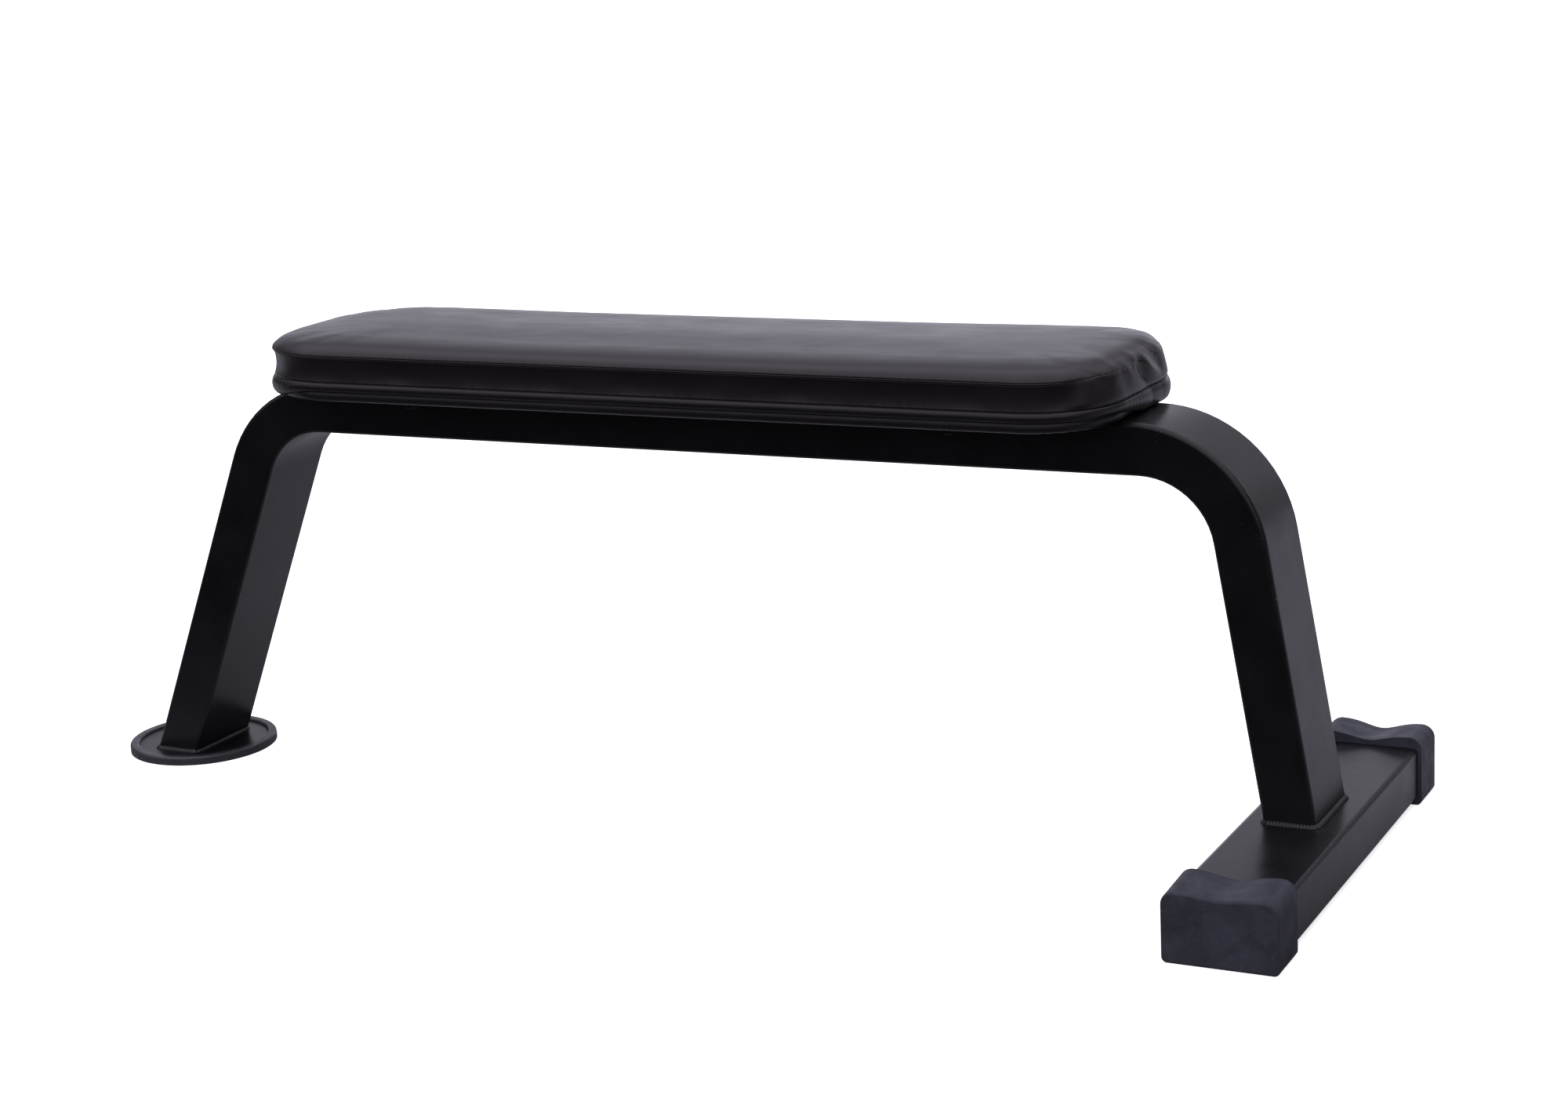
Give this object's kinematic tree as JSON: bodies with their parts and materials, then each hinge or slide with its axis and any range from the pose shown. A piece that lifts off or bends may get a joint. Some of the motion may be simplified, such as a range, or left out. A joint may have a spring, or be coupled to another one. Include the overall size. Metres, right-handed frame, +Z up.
{
  "type": "flat weight bench",
  "caption": "Flat weight bench: padded black vinyl top on a bent rectangular tube, with a round rear foot and a T-shaped front foot.",
  "frame": {"origin": "on the floor, under the centre of the overall box", "axes": "+X along the bench from the round rear foot to the T-foot, +Y across it to the left, +Z up"},
  "size_m": [1.322, 0.488, 0.457],
  "materials": {
    "frame_paint": "satin",
    "cap_rubber": "matte",
    "cup_rubber": "matte",
    "black_steel": "satin",
    "plywood": "matte",
    "foam": "matte",
    "vinyl": "satin",
    "dust_cloth": "matte",
    "staple_wire": "satin"
  },
  "bodies": {
    "root": {"frame_tube": "frame_paint", "front_crossbeam": "frame_paint", "front_weld_bead": "frame_paint", "crossbeam_cap_left": "cap_rubber", "crossbeam_cap_right": "cap_rubber", "rear_foot_cup": "cup_rubber", "rear_foot_plate": "frame_paint", "rear_weld_bead": "frame_paint", "pad_lug_rear_left": "frame_paint", "pad_lug_rear_right": "frame_paint", "pad_lug_front_left": "frame_paint", "pad_lug_front_right": "frame_paint", "lug_weld_beads": "frame_paint", "pad_bolts": "black_steel", "flat_washers": "black_steel", "spring_washers": "black_steel", "tee_nuts": "black_steel", "pad_board": "plywood", "pad_foam": "foam", "cover_top_panel": "vinyl", "cover_top_welt": "vinyl", "cover_side_band": "vinyl", "cover_lower_piping": "vinyl", "cover_margin": "vinyl", "dust_cover": "dust_cloth", "cover_staples": "staple_wire"}
  },
  "joints": []
}
